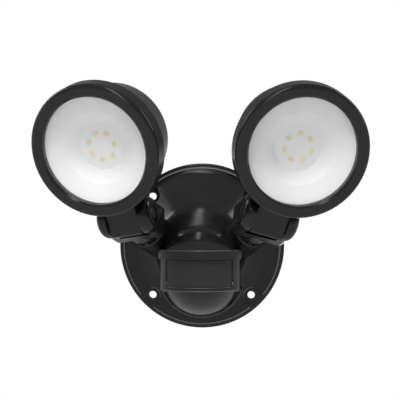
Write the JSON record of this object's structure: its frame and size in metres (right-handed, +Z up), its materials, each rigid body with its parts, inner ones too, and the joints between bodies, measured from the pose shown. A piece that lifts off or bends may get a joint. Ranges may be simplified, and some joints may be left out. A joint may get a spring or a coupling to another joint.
{
  "type": "motion sensor security light",
  "caption": "Wall security light with aimable round LED heads on knuckle arms, a round canopy and a hooded motion sensor between them.",
  "frame": {"origin": "centre of the canopy's back face, where it meets the wall", "axes": "+Z up, -Y out from the wall, +X to the viewer's right"},
  "size_m": [0.2348, 0.1263, 0.1802],
  "materials": {
    "black_housing": "satin black moulding",
    "grey_rubber": "matt dark grey",
    "zinc_steel": "zinc plated",
    "smoked_window": "smooth dark polyethylene",
    "detector_can": "nickel can",
    "circuit_board": "green solder mask",
    "black_component": "dull black",
    "dial_plastic": "dull dark grey",
    "black_steel": "black coated",
    "clear_lens": "clear and smooth",
    "white_reflector": "white, softly diffusing",
    "white_board": "white solder mask",
    "led_phosphor": "pale yellow phosphor"
  },
  "bodies": {
    "root": {"canopy_housing": "black_housing", "wall_gasket": "grey_rubber", "sensor_cup": "black_housing", "cup_screws": "zinc_steel", "pir_window": "smoked_window", "pir_detector": "detector_can", "sensor_board": "circuit_board", "driver_board": "circuit_board", "driver_components": "black_component", "left_arm_seal": "grey_rubber", "right_arm_seal": "grey_rubber"},
    "time_dial": {"time_dial": "dial_plastic"},
    "range_dial": {"range_dial": "dial_plastic"},
    "left_arm": {"left_knuckle_arm": "black_housing", "left_lock_nut": "black_housing", "left_hinge_bolt": "black_steel", "left_hinge_nut": "black_steel"},
    "left_head": {"left_lamp_housing": "black_housing", "left_bezel": "black_housing", "left_lens": "clear_lens", "left_lens_gasket": "grey_rubber", "left_reflector": "white_reflector", "left_led_board": "white_board", "left_led_chips": "led_phosphor", "left_bezel_screws": "black_steel"},
    "right_arm": {"right_knuckle_arm": "black_housing", "right_lock_nut": "black_housing", "right_hinge_bolt": "black_steel", "right_hinge_nut": "black_steel"},
    "right_head": {"right_lamp_housing": "black_housing", "right_bezel": "black_housing", "right_lens": "clear_lens", "right_lens_gasket": "grey_rubber", "right_reflector": "white_reflector", "right_led_board": "white_board", "right_led_chips": "led_phosphor", "right_bezel_screws": "black_steel"}
  },
  "joints": [
    {"name": "time_dial_turn", "type": "hinge", "parent": "root", "child": "time_dial", "pos_m": [-0.0075, -0.019, -0.0435], "axis": [0, 0, -1], "range_deg": [0, 270]},
    {"name": "range_dial_turn", "type": "hinge", "parent": "root", "child": "range_dial", "pos_m": [0.0075, -0.019, -0.0435], "axis": [0, 0, -1], "range_deg": [0, 270]},
    {"name": "left_arm_swivel", "type": "hinge", "parent": "root", "child": "left_arm", "pos_m": [-0.0388, -0.04435, 0.01312], "axis": [-0.3716, -0.8755, 0.309], "range_deg": [-45, 45]},
    {"name": "left_head_tilt", "type": "hinge", "parent": "left_arm", "child": "left_head", "pos_m": [-0.0496, -0.0698, 0.0221], "axis": [0.9282, -0.3438, 0.1422], "range_deg": [-30, 45]},
    {"name": "right_arm_swivel", "type": "hinge", "parent": "root", "child": "right_arm", "pos_m": [0.0388, -0.04435, 0.01312], "axis": [0.3716, -0.8755, 0.309], "range_deg": [-45, 45]},
    {"name": "right_head_tilt", "type": "hinge", "parent": "right_arm", "child": "right_head", "pos_m": [0.0496, -0.0698, 0.0221], "axis": [0.9181, 0.2972, -0.2621], "range_deg": [-30, 45]}
  ]
}
